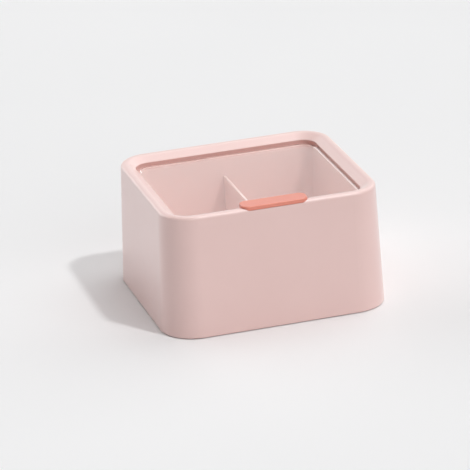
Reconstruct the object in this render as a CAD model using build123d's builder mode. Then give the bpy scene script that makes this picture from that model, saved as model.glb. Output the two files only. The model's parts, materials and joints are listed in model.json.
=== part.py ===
from build123d import *
from math import radians, sqrt, tan
import os

# Cotton pad box: a tapered double-walled box with two compartments under a clear hinged lid.
# Lengths are in millimetres and angles in degrees.
# The origin is on the table under the middle of the box, with X to the right, Y to the back and Z up.

os.makedirs("parts", exist_ok=True)

# Outer wall
box_width = 145.0
box_depth = 130.0
rim_height = 78.6
wall_draft = 2.3
base_corner_radius = 22.5
wall_thickness = 2.2
wall_foot_radius = 0.6
foot_proud = 0.4

# Rim, from the wall line at its crest in to the lip of the opening
rim_width = 9.5
rim_drop = 3.3
rim_outer_radius = 2.0
crest_width = 4.2
crest_radius = 4.0
lip_radius = 0.5
lip_thickness = 0.6
rim_skin = 2.4
shadow_gap = 1.3
skirt_thickness = 2.0

# Lid
lid_recess = 1.8
lid_thickness = 2.0
lid_gap = 0.6
lid_edge_radius = 0.4
lid_rest_gap = 0.2
flap_gap = 0.4
flap_swing_depth = 10.0

# Stub axles at the lid's sides, and the bosses they turn in
hinge_setback = 1.5
axle_diameter = 1.8
axle_root = 3.0
axle_reach = 2.6
axle_chamfer = 0.25
axle_running_gap = 0.06
axle_end_gap = 0.4
axle_boss_radius = 2.2
axle_boss_end = 1.2

# Pull tab
tab_width = 42.4
tab_depth = 11.3
tab_thickness = 2.6
tab_proud = 1.4
tab_front_inset = 0.3
tab_corner_radius = 4.5
tab_edge_radius = 0.6
tab_leg = 1.5
peg_diameter = 1.0
peg_spacing = 24.0
peg_gap = 0.05
pocket_side_gap = 0.25
pocket_floor_gap = 0.25

# Inner tray
ledge_width = 1.8
tray_wall = 1.8
tray_draft = 2.0
tray_floor = 1.8
tray_floor_radius = 3.0
tray_skirt_gap = 0.15
upstand_height = 2.6
flange_thickness = 2.0
flange_bearing = 0.9
flange_gap = 0.1

# Divider
divider_thickness = 1.8
divider_top = 58.0
divider_edge_radius = 0.6
groove_depth = 0.8
groove_gap = 0.05

# Base plate, screws and foot pads
plate_thickness = 3.0
plate_gap = 0.2
boss_inset = 7.4
boss_radius = 2.6
screw_diameter = 2.2
screw_length = 9.0
screw_point = 1.2
screw_head_diameter = 4.2
screw_head_height = 1.5
screw_head_recess = 0.3
screw_drive_length = 2.4
screw_drive_width = 0.5
screw_drive_depth = 0.8
screw_hole_gap = 0.15
screw_thread_gap = 0.03
screw_pilot_depth = 11.0
pad_diameter = 12.0
pad_thickness = 1.2
pad_inset = 17.0
pad_gap = 0.1
pad_edge_radius = 0.4

# Heights
plate_top = foot_proud + plate_thickness
floor_top = plate_top + tray_floor
edge_height = rim_height - rim_drop
lip_under = edge_height - lip_thickness
lid_top = edge_height - lid_recess
lid_under = lid_top - lid_thickness
ledge_height = lid_under - lid_rest_gap
seat_height = ledge_height - upstand_height
ceiling_height = rim_height - rim_skin
tab_top = rim_height + tab_proud
tab_under = tab_top - tab_thickness

# Insets from the plan outline at the foot of the wall
crest_inset = (rim_height - foot_proud) * tan(radians(wall_draft))
opening_inset = crest_inset + rim_width
skirt_inset = opening_inset - shadow_gap
skirt_back_inset = skirt_inset - skirt_thickness
lid_inset = opening_inset + lid_gap
cavity_inset = opening_inset + ledge_width

# Centre of the front right corner's rounding, shared by every outline, with the signs dropped
corner_x = box_width / 2 - base_corner_radius
corner_y = box_depth / 2 - base_corner_radius

# Reach of the screw bosses and the foot pads out from those centres, on the corners' diagonals
boss_reach = base_corner_radius - boss_inset
pad_reach = base_corner_radius - pad_inset

# Hinge axis, along X near where the straight sides end: the lid behind it swings down into the box
hinge_y = corner_y - hinge_setback
hinge_z = lid_top - lid_thickness / 2
lid_half_width = box_width / 2 - lid_inset
skirt_half_width = box_width / 2 - skirt_inset

# Front and back edges of the pull tab
tab_front = crest_inset - box_depth / 2 + tab_front_inset
tab_back = tab_front + tab_depth


def wall_inner_inset(height):
    """Inset of the outer wall's inner face at a height."""
    return wall_thickness + (height - foot_proud) * tan(radians(wall_draft))


def cavity_inset_at(height):
    """Inset of the tray's inner face at a height: it leans in towards the floor."""
    return cavity_inset + (ledge_height - height) * tan(radians(tray_draft))


def outline(inset):
    """Draws the box's rounded plan outline, this far inside the foot of the wall."""
    RectangleRounded(box_width - 2 * inset, box_depth - 2 * inset, base_corner_radius - inset)


def tab_outline(margin):
    """Draws the pull tab's plan outline, grown by a margin."""
    with Locations((0, (tab_front + tab_back) / 2)):
        RectangleRounded(tab_width + 2 * margin, tab_depth + 2 * margin, tab_corner_radius + margin)


def corner_places(reach):
    """The four places on the corners' diagonals, this far out from the centres of the roundings."""
    step = reach / sqrt(2)
    return [(x * (corner_x + step), y * (corner_y + step)) for x in (-1, 1) for y in (-1, 1)]


# Outer shell: one section of wall, rim, lip and skirt is carried round half of the plan outline
# and mirrored. The rim falls from its crest to the lip, and the skirt stands back under the lip.
skirt_back_drop = rim_drop * (rim_width - shadow_gap - skirt_thickness - crest_width)
skirt_back_drop = skirt_back_drop / (rim_width - crest_width)
shell_section = [
    (0, foot_proud, wall_foot_radius),
    (crest_inset, rim_height, rim_outer_radius),
    (crest_inset + crest_width, rim_height, crest_radius),
    (opening_inset, edge_height, lip_radius),
    (opening_inset, lip_under, 0),
    (skirt_inset, lip_under, 0),
    (skirt_inset, seat_height, 0),
    (skirt_back_inset, seat_height, 0),
    (skirt_back_inset, ceiling_height - skirt_back_drop, 0),
    (crest_inset + crest_width, ceiling_height, 0),
    (wall_inner_inset(ceiling_height), ceiling_height, 0),
    (wall_thickness, foot_proud, 0),
]
with BuildPart() as outer_shell:
    with BuildSketch(Plane.YZ) as section:
        with BuildLine():
            FilletPolyline(
                [(inset - box_depth / 2, height) for inset, height, radius in shell_section],
                radius=[radius for inset, height, radius in shell_section],
                close=True,
            )
        make_face()
    with BuildLine() as half_outline:
        FilletPolyline(
            (0, -box_depth / 2),
            (box_width / 2, -box_depth / 2),
            (box_width / 2, box_depth / 2),
            (0, box_depth / 2),
            radius=base_corner_radius,
        )
    sweep(section.sketch, path=half_outline.line)
    # Axle boss behind the skirt, and the screw bosses that hang from the rim
    with BuildSketch(Plane.YZ.offset(skirt_half_width)) as axle_boss:
        with Locations((hinge_y, hinge_z)):
            Circle(axle_boss_radius)
    extrude(amount=axle_reach + axle_end_gap + axle_boss_end)
    with BuildSketch(Plane.XY.offset(plate_top)) as screw_bosses:
        with Locations(*[place for place in corner_places(boss_reach) if place[0] > 0]):
            Circle(boss_radius)
    extrude(amount=ceiling_height - plate_top)
    mirror(about=Plane.YZ)
    # Clear space inside the skirt, for the lid and the tray
    with BuildSketch(Plane.XY) as inside:
        outline(skirt_inset)
    extrude(amount=lip_under, mode=Mode.SUBTRACT)
    # Blind holes for the axles and the screws
    for side in (-1, 1):
        with BuildSketch(Plane.YZ.offset(side * skirt_half_width)) as axle_hole:
            with Locations((hinge_y, hinge_z)):
                Circle(axle_diameter / 2 + axle_running_gap)
        extrude(amount=side * (axle_reach + axle_end_gap), mode=Mode.SUBTRACT)
    with BuildSketch(Plane.XY.offset(plate_top)) as pilot_holes:
        with Locations(*corner_places(boss_reach)):
            Circle(screw_diameter / 2 + screw_thread_gap)
    extrude(amount=screw_pilot_depth, mode=Mode.SUBTRACT)
    # Shallow pocket in the front rim that the pull tab lies in
    with BuildSketch(Plane.XY.offset(tab_under - pocket_floor_gap)) as pocket:
        tab_outline(pocket_side_gap)
    extrude(amount=tab_thickness + pocket_floor_gap, mode=Mode.SUBTRACT)
outer_shell.part.label = "outer_shell"
export_step(outer_shell.part, "parts/outer_shell.step")

# Divider: a plate that stands in grooves in the tray's front and back walls and its floor
divider_foot = floor_top - groove_depth
divider_foot_half = box_depth / 2 - cavity_inset_at(divider_foot) + groove_depth
divider_top_half = box_depth / 2 - cavity_inset_at(divider_top) + groove_depth
with BuildPart() as divider:
    with BuildSketch(Plane.YZ) as divider_face:
        with BuildLine():
            Polyline(
                (-divider_foot_half, divider_foot),
                (divider_foot_half, divider_foot),
                (divider_top_half, divider_top),
                (-divider_top_half, divider_top),
                close=True,
            )
        make_face()
    extrude(amount=divider_thickness / 2, both=True)
    fillet(divider.faces().sort_by(Axis.Z)[-1].edges().filter_by(Axis.Y), divider_edge_radius)
divider.part.label = "divider"
export_step(divider.part, "parts/divider.step")

# Inner tray: tapered walls and floor, a flange that bears under the skirt, and an upstand inside
# the skirt whose top is the ledge that the lid closes onto
with BuildPart() as inner_tray:
    with BuildSketch(Plane.XY.offset(plate_top)) as tray_foot:
        outline(cavity_inset_at(plate_top) - tray_wall)
    extrude(amount=seat_height - plate_top, taper=-tray_draft)
    with BuildSketch(Plane.XY.offset(seat_height - flange_gap)) as flange:
        outline(skirt_inset - flange_bearing)
    extrude(amount=-flange_thickness)
    with BuildSketch(Plane.XY.offset(seat_height - flange_gap)) as upstand:
        outline(skirt_inset + tray_skirt_gap)
    extrude(amount=upstand_height + flange_gap)
    with BuildSketch(Plane.XY.offset(floor_top)) as cavity_floor:
        outline(cavity_inset_at(floor_top))
    extrude(amount=ledge_height - floor_top, taper=-tray_draft, mode=Mode.SUBTRACT)
    fillet(inner_tray.faces().filter_by(Plane.XY).sort_by(Axis.Z)[1].edges(), tray_floor_radius)
    # Grooves for the divider
    with BuildSketch(Plane.YZ) as grooves:
        with BuildLine():
            Polyline(
                (-divider_foot_half - groove_gap, divider_foot - groove_gap),
                (divider_foot_half + groove_gap, divider_foot - groove_gap),
                (divider_top_half + groove_gap, divider_top),
                (-divider_top_half - groove_gap, divider_top),
                close=True,
            )
        make_face()
    extrude(amount=divider_thickness / 2 + groove_gap, both=True, mode=Mode.SUBTRACT)
inner_tray.part.label = "inner_tray"
export_step(inner_tray.part, "parts/inner_tray.step")

# Lid panel: a clear plate on two stub axles. Behind the hinge it narrows to a flap that swings down
# clear of the tray's walls.
flap_inset = cavity_inset_at(ledge_height - flap_swing_depth) + flap_gap
with BuildPart() as lid_panel:
    with BuildSketch(Plane.XY.offset(lid_under)) as lid_plate:
        outline(lid_inset)
        with Locations((0, hinge_y)):
            Rectangle(box_width, box_depth, align=(Align.CENTER, Align.MIN), mode=Mode.SUBTRACT)
        outline(flap_inset)
    extrude(amount=lid_thickness)
    fillet(lid_panel.faces().filter_by(Plane.XY).edges(), lid_edge_radius)
    # The axles are rooted in the plate in front of the step and in the flap behind it
    for side in (-1, 1):
        with BuildSketch(Plane.YZ.offset(side * (lid_half_width - axle_root))) as axle:
            with Locations((hinge_y, hinge_z)):
                Circle(axle_diameter / 2)
        extrude(amount=side * (skirt_half_width + axle_reach - lid_half_width + axle_root))
    chamfer(
        lid_panel.faces().filter_by(Plane.YZ).sort_by(Axis.X)[0].edges()
        + lid_panel.faces().filter_by(Plane.YZ).sort_by(Axis.X)[-1].edges(),
        axle_chamfer,
    )
    with BuildSketch(Plane.XY.offset(lid_under)) as peg_holes:
        with Locations((0, tab_back - tab_leg / 2)):
            with GridLocations(peg_spacing, 0, 2, 1):
                Circle(peg_diameter / 2 + peg_gap)
    extrude(amount=lid_thickness, mode=Mode.SUBTRACT)
lid_panel.part.label = "lid_panel"
export_step(lid_panel.part, "parts/lid_panel.step")

# Pull tab: a coral bar with a leg down to the lid, held by two pegs
with BuildPart() as pull_tab:
    with BuildSketch(Plane.XY.offset(tab_under)) as tab_bar:
        tab_outline(0)
    extrude(amount=tab_thickness)
    with BuildSketch(Plane.XY.offset(lid_top)) as leg:
        tab_outline(0)
        with Locations((0, tab_back - tab_leg / 2)):
            Rectangle(tab_width, tab_leg, mode=Mode.INTERSECT)
    extrude(amount=tab_under - lid_top)
    fillet(pull_tab.faces().sort_by(Axis.Z)[-1].edges(), tab_edge_radius)
    with BuildSketch(Plane.XY.offset(lid_under)) as pegs:
        with Locations((0, tab_back - tab_leg / 2)):
            with GridLocations(peg_spacing, 0, 2, 1):
                Circle(peg_diameter / 2)
    extrude(amount=lid_thickness)
pull_tab.part.label = "pull_tab"
export_step(pull_tab.part, "parts/pull_tab.step")

# Base plate: closes the shell from below, against the ends of the screw bosses
counterbore_depth = screw_head_height + screw_head_recess
pad_recess = pad_thickness - foot_proud
with BuildPart() as base_plate:
    with BuildSketch(Plane.XY.offset(foot_proud)) as plate:
        outline(wall_thickness + plate_gap)
    extrude(amount=plate_thickness, taper=wall_draft)
    with BuildSketch(Plane.XY.offset(foot_proud)) as screw_holes:
        with Locations(*corner_places(boss_reach)):
            Circle(screw_diameter / 2 + screw_hole_gap)
    extrude(amount=plate_thickness, mode=Mode.SUBTRACT)
    with BuildSketch(Plane.XY.offset(foot_proud)) as counterbores:
        with Locations(*corner_places(boss_reach)):
            Circle(screw_head_diameter / 2 + screw_hole_gap)
    extrude(amount=counterbore_depth, mode=Mode.SUBTRACT)
    with BuildSketch(Plane.XY.offset(foot_proud)) as pad_seats:
        with Locations(*corner_places(pad_reach)):
            Circle(pad_diameter / 2 + pad_gap)
    extrude(amount=pad_recess, mode=Mode.SUBTRACT)
base_plate.part.label = "base_plate"
export_step(base_plate.part, "parts/base_plate.step")

# Base screws: pan heads in the plate's counterbores, points up in the shell's bosses
head_foot = foot_proud + screw_head_recess
shank_foot = head_foot + screw_head_height
with BuildPart() as screw:
    with BuildSketch(Plane.XZ) as screw_profile:
        with BuildLine():
            Polyline(
                (0, head_foot),
                (screw_head_diameter / 2 - screw_head_height / 2, head_foot),
                (screw_head_diameter / 2, head_foot + screw_head_height / 2),
                (screw_head_diameter / 2, shank_foot),
                (screw_diameter / 2, shank_foot),
                (screw_diameter / 2, shank_foot + screw_length - screw_point),
                (0, shank_foot + screw_length),
                close=True,
            )
        make_face()
    revolve(axis=Axis.Z)
    with BuildSketch(Plane.XY.offset(head_foot)) as drive:
        Rectangle(screw_drive_length, screw_drive_width)
        Rectangle(screw_drive_width, screw_drive_length)
    extrude(amount=screw_drive_depth, mode=Mode.SUBTRACT)
with BuildPart() as base_screws:
    with Locations(*corner_places(boss_reach)):
        add(screw.part)
base_screws.part.label = "base_screws"
export_step(base_screws.part, "parts/base_screws.step")

# Foot pads: thin round pads let into the base plate
pad_names = ["front_left", "back_left", "front_right", "back_right"]
for place, pad_name in zip(corner_places(pad_reach), pad_names):
    with BuildPart() as foot_pad:
        with BuildSketch(Plane.XY) as pad_face:
            with Locations(place):
                Circle(pad_diameter / 2)
        extrude(amount=pad_thickness)
        fillet(foot_pad.faces().sort_by(Axis.Z)[0].edges(), pad_edge_radius)
    foot_pad.part.label = "foot_pad_" + pad_name
    export_step(foot_pad.part, "parts/foot_pad_" + pad_name + ".step")
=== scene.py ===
"""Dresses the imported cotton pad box: materials, floor, light and camera."""
import json
from math import cos, radians, sin

import bpy
from mathutils import Matrix, Vector

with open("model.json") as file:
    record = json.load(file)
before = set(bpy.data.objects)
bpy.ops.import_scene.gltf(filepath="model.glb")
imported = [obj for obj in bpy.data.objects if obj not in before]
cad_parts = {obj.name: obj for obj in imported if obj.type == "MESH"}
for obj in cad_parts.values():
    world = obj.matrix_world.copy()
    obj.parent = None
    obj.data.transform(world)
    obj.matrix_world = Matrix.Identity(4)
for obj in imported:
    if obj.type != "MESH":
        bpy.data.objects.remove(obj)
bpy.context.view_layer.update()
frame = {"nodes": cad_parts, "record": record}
nodes = frame["nodes"]

# Colours, as linear red, green and blue
PINK = (0.85, 0.597, 0.562)
PINK_DEEP = (0.83, 0.577, 0.542)
# The lining's pinks are the shell's pink made lighter: painted light for the compartments' inside
PINK_INNER_PAINTED_LIGHT = (0.96, 0.69, 0.64)
PINK_INNER_DEEP_PAINTED_LIGHT = (0.94, 0.67, 0.62)
CORAL = (0.84, 0.275, 0.195)
CORAL_DEEP = (0.80, 0.25, 0.175)
LID_TINT = (0.99, 0.98, 0.975)
LID_SHADOW_TINT = (0.99, 0.985, 0.98)
STEEL = (0.56, 0.56, 0.58)
STEEL_DARK = (0.46, 0.46, 0.48)
RUBBER = (0.52, 0.49, 0.47)
RUBBER_DARK = (0.46, 0.43, 0.41)
FLOOR = (0.92, 0.92, 0.925)
FLOOR_SHADE = (0.90, 0.90, 0.905)
WHITE = (1.0, 1.0, 1.0)

# Nodes that line the compartments, in a lighter pink than the shell: painted light, which lifts the
# inside that the lamps light less
PAINTED_LIGHT_NODES = ("inner_tray", "divider")

# Noise lies mostly between these values, which are stretched over a material's whole range
NOISE_LOW = 0.3
NOISE_HIGH = 0.7

# Moulded plastic: roughness, how far it varies either way, and the weights of the gloss coat
PLASTIC_ROUGHNESS = 0.32
ROUGHNESS_SPREAD = 0.025
PINK_COAT = 1.0
CORAL_COAT = 0.3

# Clear plastic: rays that have bounced more often than this pass straight through, because light
# caught between the faces would turn the edges black
LID_IOR = 1.49
CAUGHT_BOUNCES = 3.5

# Floor, in metres
FLOOR_SIZE = 12.0

# Lamps: degrees round from the front towards the right, degrees up, strength and width in degrees
KEY_AZIMUTH = 39.8
KEY_ELEVATION = 58.6
KEY_STRENGTH = 0.90
KEY_WIDTH = 4.0
SOFT_WIDTH = 60.0
LOW_ELEVATION = 30.0
SOFT_LAMPS = (
    ("front", 20.0, 20.0, 0.96),
    ("top", 0.0, 90.0, 0.66),
    ("back_right", 120.0, 50.0, 1.07),
    ("back_left", 225.0, 20.0, 1.06),
)

# Camera, fitted to the edges of the box in a picture 470 pixels square: degrees, pixels and metres
PICTURE_PX = 470
SENSOR_MM = 36.0
FOCAL_PX = 3216.5
AZIMUTH = -15.925
ELEVATION = 21.425
ROLL = -2.936
DISTANCE = 2.03943
OFFSET_RIGHT = 0.010818
OFFSET_UP = -0.033994


class Material:
    """A node material: a Principled shader and the textures that feed it."""

    def __init__(self, name):
        self.data = bpy.data.materials.new(name)
        self.data.use_nodes = True
        self.tree = self.data.node_tree
        self.shader = self.tree.nodes["Principled BSDF"]
        self.output = self.tree.nodes["Material Output"]
        self.place = self.add("ShaderNodeTexCoord").outputs["Object"]

    def add(self, kind, **settings):
        """Adds a node: a setting names an input, with _ for each space, or else a property."""
        node = self.tree.nodes.new(kind)
        for key, value in settings.items():
            socket = key.replace("_", " ")
            if socket in node.inputs:
                node.inputs[socket].default_value = value
            else:
                setattr(node, key, value)
        return node

    def link(self, source, target):
        self.tree.links.new(source, target)

    def set(self, **values):
        """Sets the shader's own sockets, named with _ for each space."""
        for key, value in values.items():
            self.shader.inputs[key.replace("_", " ")].default_value = value

    def noise(self, size, detail=2.0, stretch=(1.0, 1.0, 1.0)):
        """Noise with grains about this many metres across, drawn out along an axis by stretch."""
        spaced = self.add("ShaderNodeMapping", Scale=[1.0 / (size * s) for s in stretch])
        self.link(self.place, spaced.inputs["Vector"])
        grain = self.add("ShaderNodeTexNoise", Scale=1.0, Detail=detail)
        self.link(spaced.outputs["Vector"], grain.inputs["Vector"])
        return grain.outputs["Fac"]

    def colour(self, fac, low, high):
        """Runs the base colour from low to high with noise."""
        ramp = self.add("ShaderNodeValToRGB")
        stops = ramp.color_ramp.elements
        for stop, position, shade in zip(stops, (NOISE_LOW, NOISE_HIGH), (low, high)):
            stop.position = position
            stop.color = (*shade, 1.0)
        self.link(fac, ramp.inputs["Fac"])
        self.link(ramp.outputs["Color"], self.shader.inputs["Base Color"])

    def roughness(self, fac, low, high):
        """Runs the roughness from low to high with noise."""
        spread = self.add(
            "ShaderNodeMapRange", From_Min=NOISE_LOW, From_Max=NOISE_HIGH, To_Min=low, To_Max=high
        )
        self.link(fac, spread.inputs["Value"])
        self.link(spread.outputs["Result"], self.shader.inputs["Roughness"])

    def bump(self, fac, height, strength):
        """Raises the surface with noise, by this many metres at most."""
        raised = self.add("ShaderNodeBump", Strength=strength, Distance=height)
        self.link(fac, raised.inputs["Height"])
        self.link(raised.outputs["Normal"], self.shader.inputs["Normal"])


def any_of(tree, first, *others):
    """1 where any of these ray tests is 1, and else 0."""
    for other in others:
        larger = tree.nodes.new("ShaderNodeMath")
        larger.operation = "MAXIMUM"
        tree.links.new(first, larger.inputs[0])
        tree.links.new(other, larger.inputs[1])
        first = larger.outputs["Value"]
    return first


def moulded(name, low, high, coat):
    """Satin moulded plastic: spark-eroded grain, and faint clouds in the colour and the gloss."""
    made = Material(name)
    made.colour(made.noise(size=0.045, detail=3.0), low, high)
    made.roughness(
        made.noise(size=0.012),
        low=PLASTIC_ROUGHNESS - ROUGHNESS_SPREAD,
        high=PLASTIC_ROUGHNESS + ROUGHNESS_SPREAD,
    )
    made.bump(made.noise(size=0.00035, detail=3.0), height=0.00002, strength=0.25)
    made.set(Coat_Weight=coat, Coat_Roughness=PLASTIC_ROUGHNESS)
    return made.data


def clear_plastic():
    """Clear polished plastic with faint handling marks.

    It lets the lamps through to the inside, and lets out light that is caught between its faces.
    """
    made = Material("clear_plastic")
    made.set(Base_Color=(*LID_TINT, 1.0), Transmission_Weight=1.0, IOR=LID_IOR)
    marks = made.noise(size=0.006, detail=4.0, stretch=(1.0, 6.0, 1.0))
    made.roughness(marks, low=0.0, high=0.04)
    made.bump(made.noise(size=0.02), height=0.00001, strength=0.1)
    path = made.add("ShaderNodeLightPath").outputs
    caught = made.add("ShaderNodeMath", operation="GREATER_THAN")
    made.link(path["Ray Depth"], caught.inputs[0])
    caught.inputs[1].default_value = CAUGHT_BOUNCES
    passing = any_of(
        made.tree, caught.outputs["Value"], path["Is Shadow Ray"], path["Is Diffuse Ray"]
    )
    clear = made.add("ShaderNodeBsdfTransparent", Color=(*LID_SHADOW_TINT, 1.0))
    mix = made.add("ShaderNodeMixShader")
    made.link(passing, mix.inputs[0])
    made.link(made.shader.outputs["BSDF"], mix.inputs[1])
    made.link(clear.outputs["BSDF"], mix.inputs[2])
    made.link(mix.outputs["Shader"], made.output.inputs["Surface"])
    return made.data


def drawn_steel():
    """Plain steel screw stock, with fine lines from drawing."""
    made = Material("steel")
    made.set(Metallic=1.0)
    lines = made.noise(size=0.0003, detail=3.0, stretch=(12.0, 1.0, 1.0))
    made.colour(lines, STEEL_DARK, STEEL)
    made.roughness(lines, low=0.25, high=0.42)
    made.bump(lines, height=0.00001, strength=0.3)
    return made.data


def soft_rubber():
    """Matt rubber with a fine pitted skin."""
    made = Material("rubber")
    made.colour(made.noise(size=0.004, detail=3.0), RUBBER_DARK, RUBBER)
    made.roughness(made.noise(size=0.002), low=0.7, high=0.85)
    made.bump(made.noise(size=0.0004, detail=4.0), height=0.00004, strength=0.5)
    return made.data


def paper_floor():
    """Pale matt studio paper."""
    made = Material("floor")
    made.colour(made.noise(size=0.4), FLOOR_SHADE, FLOOR)
    made.roughness(made.noise(size=0.01), low=0.85, high=0.95)
    made.bump(made.noise(size=0.0015, detail=3.0), height=0.00004, strength=0.2)
    made.set(Specular_IOR_Level=0.1)
    return made.data


def sun(name, azimuth, elevation, strength, width):
    """A lamp as far off as the sun: angles in degrees, azimuth from the front towards the right."""
    data = bpy.data.lights.new(name, "SUN")
    data.energy = strength
    data.angle = radians(width)
    lamp = bpy.data.objects.new(name, data)
    lamp.rotation_euler = (radians(90.0 - elevation), 0.0, radians(azimuth))
    bpy.context.scene.collection.objects.link(lamp)
    return lamp


def studio_lamps():
    """A small key lamp from the front right, and broad soft lamps round the box.

    Low soft lamps pass the lid by, because it would mirror them as white sheets.
    """
    sun("key", KEY_AZIMUTH, KEY_ELEVATION, KEY_STRENGTH, KEY_WIDTH)
    passed_by = bpy.data.collections.new("passed_by")
    passed_by.objects.link(nodes["lid_panel"])
    passed_by.collection_objects[0].light_linking.link_state = "EXCLUDE"
    for name, azimuth, elevation, strength in SOFT_LAMPS:
        lamp = sun(name, azimuth, elevation, strength, SOFT_WIDTH)
        if elevation < LOW_ELEVATION:
            lamp.light_linking.receiver_collection = passed_by


def white_surround():
    """A white room that the camera, the gloss and the clear lid see, and that lights nothing."""
    world = bpy.data.worlds.new("surround")
    world.use_nodes = True
    tree = world.node_tree
    path = tree.nodes.new("ShaderNodeLightPath").outputs
    seen = any_of(tree, path["Is Camera Ray"], path["Is Glossy Ray"], path["Is Transmission Ray"])
    background = tree.nodes["Background"]
    background.inputs["Color"].default_value = (*WHITE, 1.0)
    tree.links.new(seen, background.inputs["Strength"])
    return world


def photo_camera():
    """The photograph's camera: it faces the origin, and is then shifted in its own plane."""
    azimuth, elevation, roll = radians(AZIMUTH), radians(ELEVATION), radians(ROLL)
    back = Vector((sin(azimuth) * cos(elevation), -cos(azimuth) * cos(elevation), sin(elevation)))
    level = Vector((cos(azimuth), sin(azimuth), 0.0))
    upright = back.cross(level)
    right = cos(roll) * level + sin(roll) * upright
    up = cos(roll) * upright - sin(roll) * level
    turn = Matrix((right, up, back)).transposed()
    place = DISTANCE * back - OFFSET_RIGHT * right - OFFSET_UP * up
    data = bpy.data.cameras.new("camera")
    data.sensor_width = SENSOR_MM
    data.lens = FOCAL_PX / PICTURE_PX * SENSOR_MM
    camera = bpy.data.objects.new("camera", data)
    camera.matrix_world = Matrix.Translation(place) @ turn.to_4x4()
    bpy.context.scene.collection.objects.link(camera)
    return camera


# Materials, by the record's slots
finishes = {
    "pink_plastic": moulded("pink_plastic", PINK_DEEP, PINK, PINK_COAT),
    "clear_plastic": clear_plastic(),
    "coral_plastic": moulded("coral_plastic", CORAL_DEEP, CORAL, CORAL_COAT),
    "steel": drawn_steel(),
    "rubber": soft_rubber(),
}
# The lining gets a lighter copy of the pink, as painted light inside the compartments
inner_pink_painted_light = moulded("pink_plastic_painted_light_inner", PINK_INNER_DEEP_PAINTED_LIGHT, PINK_INNER_PAINTED_LIGHT, PINK_COAT)
for part in frame["record"]["subparts"]:
    mesh = nodes[part["node"]].data
    painted_light_inside = part["node"] in PAINTED_LIGHT_NODES
    mesh.materials.clear()
    mesh.materials.append(inner_pink_painted_light if painted_light_inside else finishes[part["material_slot"]])

# Floor
bpy.ops.mesh.primitive_plane_add(size=FLOOR_SIZE)
floor = bpy.context.object
floor.name = "floor"
floor.data.materials.append(paper_floor())

# Light and camera
studio_lamps()
scene = bpy.context.scene
scene.world = white_surround()
scene.camera = photo_camera()
scene.view_settings.view_transform = "Standard"
